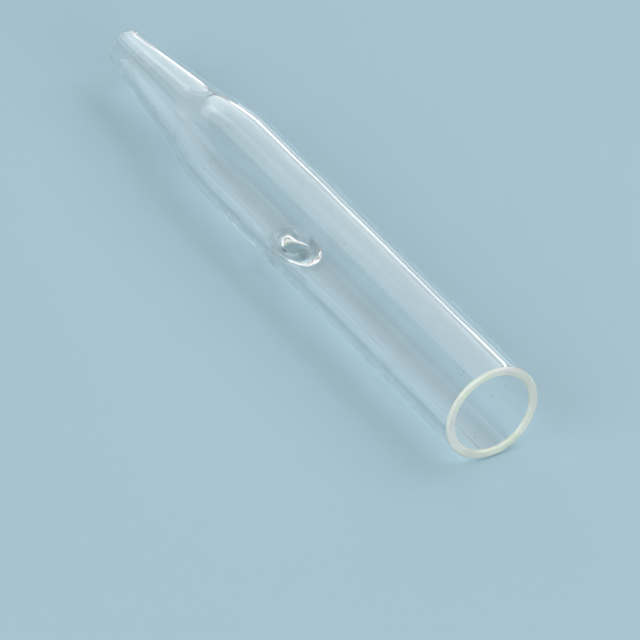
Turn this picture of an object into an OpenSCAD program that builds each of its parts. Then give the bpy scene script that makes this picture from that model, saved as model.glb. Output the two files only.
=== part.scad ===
// Glass tube with a drawn tip and a side port, made from one length of thin-walled tubing.
// The mouth is cut square and fire-polished. The other end is drawn over a soft shoulder into
// a slender tip. Halfway along, a round port with a rolled rim opens the wall.
// The tube lies along X with its mouth at +X, and rests on the rim of the port.

/* [Body] */
// Outside diameter of the straight body
body_d = 12; // [11:0.5:18]
// Wall thickness of the straight body
wall = 1.1; // [1:0.05:1.3]
// Length of the straight body, from the mouth to the shoulder
straight_l = 58.4; // [56:0.1:90]
// Radius of the fire-polished edges of the mouth
mouth_round = 0.35; // [0.2:0.05:0.45]

/* [Shoulder and tip] */
// Slope of the shoulder where it is steepest, in degrees
shoulder_slope = 12.1; // [10:0.1:13]
// Radius of the bend where the body turns into the shoulder
shoulder_bend = 38.5; // [25:0.5:45]
// Radius of the bend where the shoulder eases into the taper
neck_bend = 47.5; // [40:0.5:60]
// Slope of the long taper, in degrees
taper_slope = 6.25; // [6:0.05:8]
// Outside diameter at the end of the tip
tip_d = 5.1; // [4.4:0.1:6]
// Wall thickness at the end of the tip
tip_wall = 0.8; // [0.6:0.05:0.9]

/* [Port] */
// Clear diameter of the port
port_d = 3.2; // [2.4:0.1:3.6]
// Distance of the port's centre from the mouth
port_at = 45; // [20:1:48]
// Thickness of the rolled rim around the port
bead_d = 1.9; // [1.8:0.05:2.1]
// Height of the straight land left inside the rolled rim
port_land = 1.25; // [1.2:0.05:1.4]
// How far the rolled rim stands proud of the body
bead_proud = 0.12; // [0.1:0.01:0.16]
// Distance from the port's centre at which the wall starts to thicken towards the rim
rim_reach = 4.4; // [4.2:0.1:4.8]
// How far the wall bulges where it was heated to open the port
bulge = 0.06; // [0.04:0.01:0.1]
// Length of the heated stretch to each side of the port
bulge_reach = 7; // [6:0.5:8]

/* [Hidden] */
$fn = 96;
bend_steps = 20;
round_steps = 8;
overshoot = 1;
// how far the swell of the rim starts below the bore and ends below the top of the bead
rim_sink = 0.03;

body_r = body_d / 2;
bore_r = body_r - wall;
tip_r = tip_d / 2;
axis_z = body_r + bead_proud;

// the drawn end, measured along the axis from where the straight body stops
shoulder_l = shoulder_bend * sin(shoulder_slope);
shoulder_drop = shoulder_bend * (1 - cos(shoulder_slope));
neck_l = neck_bend * (sin(shoulder_slope) - sin(taper_slope));
neck_drop = neck_bend * (cos(taper_slope) - cos(shoulder_slope));
taper_drop = body_r - tip_r - shoulder_drop - neck_drop;
taper_l = taper_drop / tan(taper_slope);
drawn_l = shoulder_l + neck_l + taper_l;
length = straight_l + drawn_l;

port_r = port_d / 2;
bead_r = bead_d / 2;
bead_ring_r = port_r + sqrt(pow(bead_r, 2) - pow(port_land / 2, 2));
bead_depth = axis_z - bead_r;
bead_top = bead_depth - bead_r;

glass_tint = [0.88, 0.94, 0.94, 0.35];

// share of the way down the drawn end, eased at both ends
function eased(t) = t * t * (3 - 2 * t);

// wall at a distance s into the drawn end: the glass thins as it is drawn
function drawn_wall(s) = wall + (tip_wall - wall) * eased(min(1, s / drawn_l));

// outside of the drawn end as [radius, distance into it], up to where the tip is rounded
shoulder_pts = [
    for (i = [0:bend_steps])
        let (a = shoulder_slope * i / bend_steps)
        [body_r - shoulder_bend * (1 - cos(a)), shoulder_bend * sin(a)]
];
neck_pts = [
    for (i = [1:bend_steps])
        let (a = shoulder_slope + (taper_slope - shoulder_slope) * i / bend_steps)
        [
            body_r - shoulder_drop - neck_bend * (cos(a) - cos(shoulder_slope)),
            shoulder_l + neck_bend * (sin(shoulder_slope) - sin(a))
        ]
];
taper_steps = 12;
taper_end = taper_l - tip_wall / 2;
taper_pts = [
    for (i = [1:taper_steps])
        let (s = taper_end * i / taper_steps)
        [body_r - shoulder_drop - neck_drop - s * tan(taper_slope), shoulder_l + neck_l + s]
];
outer_pts = concat(shoulder_pts, neck_pts, taper_pts);

// the same stations on the inside, walked back towards the mouth
inner_pts = [
    for (i = [len(outer_pts) - 1:-1:0])
        [outer_pts[i][0] - drawn_wall(outer_pts[i][1]), outer_pts[i][1]]
];

// half circle that closes the tip between its outside and its inside
tip_out = outer_pts[len(outer_pts) - 1];
tip_in = inner_pts[0];
tip_mid = (tip_out + tip_in) / 2;
tip_half = (tip_out[0] - tip_in[0]) / 2;
tip_pts = [
    for (i = [1:2 * round_steps - 1])
        let (a = 180 * i / (2 * round_steps))
        tip_mid + tip_half * [cos(a), sin(a)]
];

// rounded edges of the mouth, as [radius, distance from the mouth]
mouth_in_pts = [
    for (i = [0:round_steps])
        let (a = 90 * i / round_steps)
        [bore_r + mouth_round * (1 - cos(a)), mouth_round * (1 - sin(a))]
];
mouth_out_pts = [
    for (i = [0:round_steps])
        let (a = 90 * i / round_steps)
        [body_r - mouth_round * (1 - sin(a)), mouth_round * (1 - cos(a))]
];

// heated stretch around the port, as [radius, distance from the mouth], from the mouth's side on
bulge_steps = 12;
function bulge_pts(r) = [
    for (i = [0:bulge_steps])
        let (s = 2 * i / bulge_steps - 1)
        [r + bulge * eased(1 - abs(s)), port_at + bulge_reach * s]
];
function turned(pts) = [for (i = [len(pts) - 1:-1:0]) pts[i]];

// section of the wall, with the mouth at the top of the axis and the tip below it
function on_axis(pts, from_mouth) = [for (p = pts) [p[0], length / 2 - from_mouth - p[1]]];
wall_section = concat(
    on_axis(outer_pts, straight_l),
    on_axis(tip_pts, straight_l),
    on_axis(inner_pts, straight_l),
    on_axis(turned(bulge_pts(bore_r)), 0),
    on_axis(mouth_in_pts, 0),
    on_axis(mouth_out_pts, 0),
    on_axis(bulge_pts(body_r), 0)
);

// section of the glass that swells from the bore towards the rim, as [distance from the port, depth]
swell_steps = 16;
swell_from = bore_r + rim_sink;
swell_to = bead_top + rim_sink;
swell_pts = concat(
    [
        for (i = [0:swell_steps])
            let (s = i / swell_steps)
            [rim_reach + (bead_ring_r - rim_reach) * s, swell_from + (swell_to - swell_from) * eased(s)]
    ],
    [[bead_ring_r, body_r], [rim_reach, body_r]]
);

// the tube without its port, along X
module drawn_body() {
    rotate([0, 90, 0])
    rotate_extrude()
    polygon(wall_section);
}

// frame of the port: Z runs out of the wall, down to what the tube lies on
module port_frame() {
    translate([length / 2 - port_at, 0, 0])
    rotate([180, 0, 0])
    children();
}

// rolled rim, where the edge of the hole has drawn itself into a ring that swells into the bore
module rolled_rim() {
    translate([0, 0, bead_depth])
    rotate_extrude()
    translate([bead_ring_r, 0])
    circle(r = bead_r);
    rim_swell();
}

// swell of the rim, which stays inside the outer half of the wall
module rim_swell() {
    intersection() {
        rotate_extrude()
        polygon(swell_pts);
        rotate([0, 90, 0])
        cylinder(r = bore_r + wall / 2, h = 4 * rim_reach, center = true);
    }
}

// clear hole through the wall and the rim
module port_hole() {
    translate([0, 0, bead_top - overshoot])
    cylinder(r = port_r, h = bead_d + 2 * overshoot);
}

module glass_tube() {
    color(glass_tint)
    translate([0, 0, axis_z])
    difference() {
        union() {
            drawn_body();
            port_frame() rolled_rim();
        }
        port_frame() port_hole();
    }
}

glass_tube();
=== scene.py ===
import math

import bmesh
import bpy
from mathutils import Matrix, Vector


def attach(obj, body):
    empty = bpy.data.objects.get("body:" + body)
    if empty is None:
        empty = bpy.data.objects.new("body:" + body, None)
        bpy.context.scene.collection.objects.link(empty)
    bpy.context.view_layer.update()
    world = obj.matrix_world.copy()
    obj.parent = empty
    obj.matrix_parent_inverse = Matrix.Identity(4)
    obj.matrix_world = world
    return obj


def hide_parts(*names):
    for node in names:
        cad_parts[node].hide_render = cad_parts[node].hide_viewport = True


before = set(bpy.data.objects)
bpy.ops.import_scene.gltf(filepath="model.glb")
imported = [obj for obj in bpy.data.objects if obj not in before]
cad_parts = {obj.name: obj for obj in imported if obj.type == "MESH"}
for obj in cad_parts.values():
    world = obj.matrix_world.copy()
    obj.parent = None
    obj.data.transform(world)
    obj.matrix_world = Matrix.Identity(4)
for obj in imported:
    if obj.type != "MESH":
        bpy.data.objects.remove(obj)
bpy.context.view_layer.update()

MM = 0.001

# The tube's sizes in mm, as in the part's source
BODY_R = 6.0
WALL = 1.1
BORE_R = BODY_R - WALL
STRAIGHT_L = 58.4
MOUTH_ROUND = 0.35
SHOULDER_SLOPE = math.radians(12.1)
SHOULDER_BEND = 38.5
NECK_BEND = 47.5
TAPER_SLOPE = math.radians(6.25)
TIP_R = 2.55
TIP_WALL = 0.8
PORT_AT = 45.0
PORT_R = 1.6
RIM_PROUD = 0.12
AXIS_Z = BODY_R + RIM_PROUD
# The port's rim: how thick it is along the tube and across it, and how far out its swell and its foot reach
RIM_ALONG = 1.9
RIM_ACROSS = 1.25
RIM_REACH = 4.4
FOOT_REACH = 3.9
# How flat the rim's foot stays across the tube: 1 is flat, and 0 follows the wall
FOOT_ACROSS = 0.5
# How far the wall bulges where it was heated to open the port, and how far along to each side
BULGE = 0.06
BULGE_REACH = 7.0
# How far the mouth's edge with painted glow reaches along the tube: its cream tint is the glass's own, its
# brightness is painted light that runs along inside the wall
MOUTH_GLOW_REACH = 0.33

# Lengths and drops along the drawn end, measured from where the straight body stops
SHOULDER_L = SHOULDER_BEND * math.sin(SHOULDER_SLOPE)
SHOULDER_DROP = SHOULDER_BEND * (1 - math.cos(SHOULDER_SLOPE))
NECK_L = NECK_BEND * (math.sin(SHOULDER_SLOPE) - math.sin(TAPER_SLOPE))
NECK_DROP = NECK_BEND * (math.cos(TAPER_SLOPE) - math.cos(SHOULDER_SLOPE))
TAPER_L = (BODY_R - TIP_R - SHOULDER_DROP - NECK_DROP) / math.tan(TAPER_SLOPE)
DRAWN_L = SHOULDER_L + NECK_L + TAPER_L
LENGTH = STRAIGHT_L + DRAWN_L
# Distances from the mouth at which the bends end and the rounding of the tip starts
NECK_END = STRAIGHT_L + SHOULDER_L + NECK_L
TIP_START = LENGTH - TIP_WALL / 2

# How finely the surface is cut: cells around the tube, and half the side of the port's patch in cells
ROUND_CUTS = 192
PATCH_HALF = 40
PATCH_SIDE = 2 * PATCH_HALF
CELL_TURN = 2 * math.pi / ROUND_CUTS
CELL = BODY_R * CELL_TURN
# Cuts along the swell, the lip and the flanks of the port, and around the edges of the two ends
SWELL_CUTS = 24
LIP_CUTS = 44
FLANK_CUTS = 10
TIP_CUTS = 16
MOUTH_CUTS = 8
# Where the rings start behind the mouth and behind the patch, and how far apart they are, in mm
FIRST_RING = 1.0
PATCH_GAP = 0.6
FRONT_STEP = 3.0
BACK_STEP = 1.5
BEND_STEP = 0.3
TAPER_STEP = 0.8

# Clear glass, and the tint that it takes on along long paths
GLASS_COLOUR = (1.0, 1.0, 1.0, 1.0)
GLASS_IOR = 1.474
ABSORB_COLOUR = (0.90, 0.95, 0.75, 1.0)
ABSORB_DENSITY = 8.0
# Waves of the draw lines per metre along and around the tube, and their height
DRAW_LINES = (25.0, 900.0, 900.0)
LINE_HEIGHT = 0.000012
# Specks per metre each way, their size as a share of that spacing, and their height
SPECK_CELLS = 420.0
SPECK_EDGE = 0.055
SPECK_HEIGHT = 0.00006
# Edge of the mouth with painted glow: how rough and how clear it is, its two tones, and the patches that mix
# them. The cream is the glass's own tint seen end-on; the brightness and its uneven patches are painted
# light that runs along inside the wall and comes out at the rim
EDGE_ROUGHNESS = 0.12
EDGE_CLEARNESS = 0.38
EDGE_GLOW_DIM = (0.90, 0.91, 0.86, 1.0)
EDGE_GLOW_BRIGHT = (1.0, 1.0, 1.0, 1.0)
GLOW_PATCHES = 220.0
GLOW_PATCH_LOW = 0.35
GLOW_PATCH_HIGH = 0.6

# Pale blue surface that the tube lies on
FLOOR_HALF = 3.0
FLOOR_COLOUR = (0.371, 0.521, 0.597, 1.0)
FLOOR_ROUGHNESS = 0.9
FLOOR_SHINE = 0.1

# The room is pale at the horizon and dims upwards, until the sine of the height above it is ROOM_RISE
ROOM_TINT = (0.93, 0.98, 1.0, 1.0)
ROOM_LOW = 0.42
ROOM_HIGH = 0.13
ROOM_RISE = 0.5
# How far off the lamps stand on the tip's side and on the mouth's side, in metres
LAMP_FAR = 1.3
LAMP_NEAR = 1.2

# The camera: where the middle of the mouth and the tube's run are in its own axes (right, down, ahead)
MOUTH_SEEN = Vector((3.247, 1.764, 93.649)) * BODY_R
RUN_SEEN = Vector((-0.4965, -0.5078, 0.7040)).normalized()
CAMERA_RIGHT = Vector((1, 0, 0))
CAMERA_LENS = 281.25
CAMERA_SENSOR = 36
CAMERA_CLIP = 10
# Light that runs along inside the wall needs many bounces before it leaves at the rims
LIGHT_BOUNCES = 64


def eased(t):
    """Share from 0 to 1 that starts and ends gently."""
    t = min(1.0, max(0.0, t))
    return t * t * (3 - 2 * t)


def bulge(h):
    """How far the wall stands out at a distance h from the mouth."""
    return BULGE * eased(1 - abs(h - PORT_AT) / BULGE_REACH)


def outer_r(h):
    """Outside radius at a distance h from the mouth."""
    s = h - STRAIGHT_L
    if s <= 0:
        return BODY_R + bulge(h)
    if s <= SHOULDER_L:
        return BODY_R - SHOULDER_BEND + math.sqrt(SHOULDER_BEND ** 2 - s ** 2)
    s -= SHOULDER_L
    if s <= NECK_L:
        sine = math.sin(SHOULDER_SLOPE) - s / NECK_BEND
        cosine = math.sqrt(1 - sine ** 2)
        return BODY_R - SHOULDER_DROP - NECK_BEND * (cosine - math.cos(SHOULDER_SLOPE))
    s -= NECK_L
    return BODY_R - SHOULDER_DROP - NECK_DROP - s * math.tan(TAPER_SLOPE)


def inner_r(h):
    """Inside radius there: the glass thins as it is drawn."""
    return outer_r(h) - WALL - (TIP_WALL - WALL) * eased((h - STRAIGHT_L) / DRAWN_L)


def place(h, down, across):
    """Point at h from the mouth, with its drop below the axis and its distance across, in metres."""
    return Vector((LENGTH / 2 - h, across, AXIS_Z - down)) * MM


def spread(first, last, step):
    """Even stations from first up to, not including, last, about a step apart."""
    count = max(1, round((last - first) / step))
    return [first + (last - first) * i / count for i in range(count)]


def stations():
    """Distances of the wall's rings from the mouth, with the first and the last ring of the port's patch."""
    hs = spread(FIRST_RING, PORT_AT - PATCH_HALF * CELL, FRONT_STEP)
    patch_first = len(hs)
    hs += [PORT_AT + (i - PATCH_HALF) * CELL for i in range(PATCH_SIDE + 1)]
    patch_last = len(hs) - 1
    hs += spread(hs[-1] + PATCH_GAP, STRAIGHT_L, BACK_STEP)
    hs += spread(STRAIGHT_L, NECK_END, BEND_STEP)
    hs += spread(NECK_END, TIP_START, TAPER_STEP) + [TIP_START]
    return hs, patch_first, patch_last


def wall_section(hs):
    """Section of the wall as (distance from the mouth, radius): along the outside, round the tip, back along
    the inside and round the mouth."""
    section = [(h, outer_r(h)) for h in hs]
    mid = (outer_r(TIP_START) + inner_r(TIP_START)) / 2
    half = (outer_r(TIP_START) - inner_r(TIP_START)) / 2
    for i in range(1, TIP_CUTS):
        a = math.pi * i / TIP_CUTS
        section.append((TIP_START + half * math.sin(a), mid + half * math.cos(a)))
    section += [(h, inner_r(h)) for h in reversed(hs)]
    quarter = [math.pi / 2 * i / MOUTH_CUTS for i in range(MOUTH_CUTS + 1)]
    for a in quarter:
        section.append((MOUTH_ROUND * (1 - math.sin(a)), BORE_R + MOUTH_ROUND * (1 - math.cos(a))))
    for a in quarter:
        section.append((MOUTH_ROUND * (1 - math.cos(a)), BODY_R - MOUTH_ROUND * (1 - math.sin(a))))
    return section


def rim_section(c, s):
    """Section of the port's rim in a plane through the port's axis, where c and s are the cosine and sine
    of the plane's turn from the tube's axis. Runs from the outside of the wall, round the lip, to the
    inside, as (distance from the port's axis, depth below the tube's axis)."""
    lengthwise = 1 - s * s
    lip = RIM_ACROSS + (RIM_ALONG - RIM_ACROSS) * lengthwise
    ring = PORT_R + lip / 2

    def drop(wall_r, r):
        return math.sqrt((wall_r + bulge(PORT_AT + r * c)) ** 2 - (r * s) ** 2)

    foot = AXIS_Z - (1 - FOOT_ACROSS) * (BODY_R - math.sqrt(BODY_R ** 2 - (ring * s) ** 2))
    top = AXIS_Z - RIM_ALONG + (drop(BORE_R, ring) - AXIS_Z + RIM_ALONG) * s * s

    def outside(r):
        wall = drop(BODY_R, r)
        return wall + (foot - wall) * eased((FOOT_REACH - r) / (FOOT_REACH - ring))

    def inside(r):
        wall = drop(BORE_R, r)
        return wall + (top - wall) * eased((RIM_REACH - r) / (RIM_REACH - ring))

    reaches = [RIM_REACH + (ring - RIM_REACH) * k / SWELL_CUTS for k in range(SWELL_CUTS + 1)]
    points = [(r, outside(r)) for r in reaches]
    middle, half = (foot + top) / 2, (foot - top) / 2
    for k in range(1, LIP_CUTS):
        turn = math.pi * k / LIP_CUTS
        points.append((ring - lip / 2 * math.sin(turn), middle + half * math.cos(turn)))
    points += [(r, inside(r)) for r in reversed(reaches)]
    return points


def port_column(i, j):
    """Points from a point on the edge of the port's patch, given by its row along the tube and its column
    around it, over the outside of the wall, round the port's lip and back along the inside."""
    a = (j - PATCH_HALF) * CELL_TURN
    along = (i - PATCH_HALF) * CELL
    turn = math.atan2(BODY_R * math.sin(a), along)
    c, s = math.cos(turn), math.sin(turn)

    def flank(wall_r):
        """Points between the patch's edge and the start of the rim's swell, on one side of the wall."""
        across = (wall_r + bulge(PORT_AT + along)) * math.sin(a)
        points = []
        for k in range(1, FLANK_CUTS):
            t = k / FLANK_CUTS
            p = along + (RIM_REACH * c - along) * t
            q = across + (RIM_REACH * s - across) * t
            points.append(place(PORT_AT + p, math.sqrt((wall_r + bulge(PORT_AT + p)) ** 2 - q ** 2), q))
        return points

    rim = [place(PORT_AT + r * c, depth, r * s) for r, depth in rim_section(c, s)]
    return flank(BODY_R) + rim + flank(BORE_R)[::-1]


def tube_mesh():
    """The whole wall as one closed skin: rings of the turned section, with the port let into a patch."""
    hs, patch_first, patch_last = stations()
    section = wall_section(hs)
    verts, faces = [], []
    for h, r in section:
        for j in range(ROUND_CUTS):
            a = (j - PATCH_HALF) * CELL_TURN
            verts.append(place(h, r * math.cos(a), r * math.sin(a)))

    inside = len(hs) + TIP_CUTS - 1

    def twin(i):
        """Ring on the inside at the same station as outside ring i."""
        return inside + len(hs) - 1 - i

    open_rings = set(range(patch_first, patch_last)) | set(range(twin(patch_last), twin(patch_first)))
    for i in range(len(section)):
        near = i * ROUND_CUTS
        far = (i + 1) % len(section) * ROUND_CUTS
        for j in range(ROUND_CUTS):
            if i in open_rings and j < PATCH_SIDE:
                continue
            k = (j + 1) % ROUND_CUTS
            faces.append((near + j, near + k, far + k, far + j))

    edge = [(0, j) for j in range(PATCH_SIDE)]
    edge += [(i, PATCH_SIDE) for i in range(PATCH_SIDE)]
    edge += [(PATCH_SIDE, PATCH_SIDE - j) for j in range(PATCH_SIDE)]
    edge += [(PATCH_SIDE - i, 0) for i in range(PATCH_SIDE)]
    columns = []
    for i, j in edge:
        first = len(verts)
        verts += port_column(i, j)
        ring = patch_first + i
        columns.append([ring * ROUND_CUTS + j, *range(first, len(verts)), twin(ring) * ROUND_CUTS + j])
    for one, other in zip(columns, columns[1:] + columns[:1]):
        for k in range(len(one) - 1):
            faces.append((one[k], other[k], other[k + 1], one[k + 1]))

    mesh = bpy.data.meshes.new("glass_wall")
    mesh.from_pydata(verts, [], faces)
    skin = bmesh.new()
    skin.from_mesh(mesh)
    bmesh.ops.recalc_face_normals(skin, faces=skin.faces)
    skin.to_mesh(mesh)
    skin.free()
    mesh.polygons.foreach_set("use_smooth", [True] * len(mesh.polygons))
    # Faces near the mouth take the second material, whose base colour paints the glow of light that runs
    # inside the wall
    for face in mesh.polygons:
        from_mouth = LENGTH / 2 - face.center.x / MM
        face.material_index = int(from_mouth < MOUTH_GLOW_REACH)
    mesh.update()
    return mesh


def node(tree, kind, place_at, inputs, **values):
    """New node with its inputs and settings."""
    made = tree.nodes.new(kind)
    made.location = place_at
    for name, value in values.items():
        setattr(made, name, value)
    set_inputs(made, inputs)
    return made


def set_inputs(made, inputs):
    """Set the named inputs of a node."""
    for name, value in inputs.items():
        made.inputs[name].default_value = value


def new_material(name, inputs):
    """Material with its tree and its shader, whose named inputs are set."""
    mat = bpy.data.materials.new(name)
    mat.use_nodes = True
    shader = mat.node_tree.nodes["Principled BSDF"]
    set_inputs(shader, inputs)
    return mat, mat.node_tree, shader


def bump(tree, place_at, height, distance):
    """Bump node of that depth, driven by an output."""
    made = node(tree, "ShaderNodeBump", place_at, {"Strength": 1.0, "Distance": distance})
    tree.links.new(height, made.inputs["Height"])
    return made


def tint_inside(tree):
    """Faint tint that grows with the way through the glass."""
    absorb = node(tree, "ShaderNodeVolumeAbsorption", (0, -500), {
        "Color": ABSORB_COLOUR,
        "Density": ABSORB_DENSITY,
    })
    tree.links.new(absorb.outputs["Volume"], tree.nodes["Material Output"].inputs["Volume"])


def glass_material():
    """Clear glass with a faint tint along long paths, fine lines along its draw and a few specks."""
    mat, tree, shader = new_material("clear_glass", {
        "Base Color": GLASS_COLOUR,
        "Roughness": 0.0,
        "Transmission Weight": 1.0,
        "IOR": GLASS_IOR,
    })
    where = node(tree, "ShaderNodeTexCoord", (-1400, 0), {})

    stretch = node(tree, "ShaderNodeMapping", (-1200, 200), {"Scale": DRAW_LINES})
    tree.links.new(where.outputs["Object"], stretch.inputs["Vector"])
    lines = node(tree, "ShaderNodeTexNoise", (-1000, 200), {"Scale": 1.0})
    tree.links.new(stretch.outputs["Vector"], lines.inputs["Vector"])
    drawn = bump(tree, (-600, 200), lines.outputs["Fac"], LINE_HEIGHT)

    cells = node(tree, "ShaderNodeTexVoronoi", (-1200, -200), {"Scale": SPECK_CELLS})
    tree.links.new(where.outputs["Object"], cells.inputs["Vector"])
    dots = node(
        tree, "ShaderNodeMapRange", (-1000, -200), {"From Min": SPECK_EDGE, "From Max": 0.0},
        interpolation_type="SMOOTHSTEP",
    )
    tree.links.new(cells.outputs["Distance"], dots.inputs["Value"])
    specks = bump(tree, (-300, 0), dots.outputs["Result"], SPECK_HEIGHT)

    tree.links.new(drawn.outputs["Normal"], specks.inputs["Normal"])
    tree.links.new(specks.outputs["Normal"], shader.inputs["Normal"])
    tint_inside(tree)
    return mat


def painted_glow_edge_material():
    """Fire-polished edge of the mouth with painted glow: its base colour paints the light that runs along
    inside the wall and comes out here, in uneven patches, over the glass's own cream tint.
    """
    mat, tree, shader = new_material("painted_glow_edge", {
        "Roughness": EDGE_ROUGHNESS,
        "Transmission Weight": EDGE_CLEARNESS,
        "IOR": GLASS_IOR,
    })
    where = node(tree, "ShaderNodeTexCoord", (-900, 0), {})
    # Uneven patches of painted glow, brighter where more of the guided light comes out
    glow_noise = node(tree, "ShaderNodeTexNoise", (-700, 0), {"Scale": GLOW_PATCHES})
    tree.links.new(where.outputs["Object"], glow_noise.inputs["Vector"])
    glow_patches = node(
        tree, "ShaderNodeMapRange", (-550, 0), {"From Min": GLOW_PATCH_LOW, "From Max": GLOW_PATCH_HIGH},
        interpolation_type="SMOOTHSTEP",
    )
    tree.links.new(glow_noise.outputs["Fac"], glow_patches.inputs["Value"])
    glow_tone = node(tree, "ShaderNodeMix", (-400, 0), {"A": EDGE_GLOW_DIM, "B": EDGE_GLOW_BRIGHT}, data_type="RGBA")
    tree.links.new(glow_patches.outputs["Result"], glow_tone.inputs["Factor"])
    tree.links.new(glow_tone.outputs["Result"], shader.inputs["Base Color"])
    tint_inside(tree)
    return mat


def floor_mesh():
    """Plain square sheet."""
    corners = [(-1, -1), (1, -1), (1, 1), (-1, 1)]
    mesh = bpy.data.meshes.new("floor")
    mesh.from_pydata([(x * FLOOR_HALF, y * FLOOR_HALF, 0) for x, y in corners], [], [(0, 1, 2, 3)])
    paper, _, _ = new_material("pale_blue_floor", {
        "Base Color": FLOOR_COLOUR,
        "Roughness": FLOOR_ROUGHNESS,
        "Specular IOR Level": FLOOR_SHINE,
    })
    mesh.materials.append(paper)
    return mesh


def room():
    """World whose light falls off from the horizon upwards."""
    world = bpy.data.worlds.new("studio")
    world.use_nodes = True
    tree = world.node_tree
    sky = tree.nodes["Background"]
    set_inputs(sky, {"Color": ROOM_TINT})
    towards = node(tree, "ShaderNodeTexCoord", (-800, 0), {})
    parts = node(tree, "ShaderNodeSeparateXYZ", (-600, 0), {})
    tree.links.new(towards.outputs["Generated"], parts.inputs["Vector"])
    strength = node(tree, "ShaderNodeMapRange", (-400, 0), {
        "From Max": ROOM_RISE,
        "To Min": ROOM_LOW,
        "To Max": ROOM_HIGH,
    })
    tree.links.new(parts.outputs["Z"], strength.inputs["Value"])
    tree.links.new(strength.outputs["Result"], sky.inputs["Strength"])
    return world


def softbox(name, lean, turn, distance, size, radiance):
    """Lamp that far off, aimed at the middle of the tube: lean is how far its direction runs along the tube
    towards the mouth, from -1 to 1, turn its angle around the tube from the camera's right, in degrees,
    and size its width around the tube and along it."""
    around = math.radians(turn)
    reach = math.sqrt(1 - lean ** 2)
    out = Vector((lean, reach * math.cos(around), reach * math.sin(around)))
    wide = Vector((0, -math.sin(around), math.cos(around)))
    lamp = bpy.data.lights.new(name, "AREA")
    lamp.shape = "RECTANGLE"
    lamp.size, lamp.size_y = size
    lamp.energy = radiance * math.pi * size[0] * size[1]
    made = bpy.data.objects.new(name, lamp)
    stance = Matrix((wide, out.cross(wide), out)).transposed().to_4x4()
    stance.translation = out * distance
    made.matrix_world = stance
    bpy.context.collection.objects.link(made)


def photo_camera():
    """Camera that sees the mouth and the tube's run where the photo has them, and stands level."""
    upright = CAMERA_RIGHT.cross(RUN_SEEN).normalized()
    to_part = Matrix((-RUN_SEEN, upright.cross(-RUN_SEEN), upright))
    lens = bpy.data.cameras.new("camera")
    lens.lens = CAMERA_LENS
    lens.sensor_width = CAMERA_SENSOR
    lens.clip_end = CAMERA_CLIP
    made = bpy.data.objects.new("camera", lens)
    turned = [to_part @ Vector(v) for v in ((1, 0, 0), (0, -1, 0), (0, 0, -1))]
    pose = Matrix(turned).transposed().to_4x4()
    pose.translation = (Vector((LENGTH / 2, 0, AXIS_Z)) - to_part @ MOUTH_SEEN) * MM
    made.matrix_world = pose
    bpy.context.collection.objects.link(made)
    return made


tube = bpy.data.objects.new("clear_tube", tube_mesh())
bpy.context.collection.objects.link(tube)
tube.data.materials.append(glass_material())
tube.data.materials.append(painted_glow_edge_material())
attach(tube, "root")
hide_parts("glass_tube")

floor = bpy.data.objects.new("floor", floor_mesh())
bpy.context.collection.objects.link(floor)

softbox("window", -0.70, 45, LAMP_FAR, (0.90, 0.90), 1.05)
softbox("ceiling", -0.70, 86, LAMP_FAR, (0.50, 0.90), 0.85)
softbox("sill", -0.62, 9, LAMP_FAR, (0.065, 0.70), 0.85)
softbox("table", -0.62, 3, LAMP_FAR, (0.13, 0.70), 1.0)
softbox("far_wall", -0.95, 90, LAMP_FAR, (0.95, 0.65), 0.5)
softbox("key", 0.15, 52, LAMP_NEAR, (1.00, 1.00), 2.6)
softbox("fill", 0.15, 146, LAMP_NEAR, (0.78, 0.90), 3.75)
softbox("front", 0.95, 90, LAMP_NEAR, (0.70, 0.50), 5.0)

scene = bpy.context.scene
scene.world = room()
scene.camera = photo_camera()
scene.view_settings.view_transform = "Standard"
scene.cycles.max_bounces = LIGHT_BOUNCES
scene.cycles.transmission_bounces = LIGHT_BOUNCES
scene.cycles.glossy_bounces = LIGHT_BOUNCES
scene.cycles.blur_glossy = 0.0
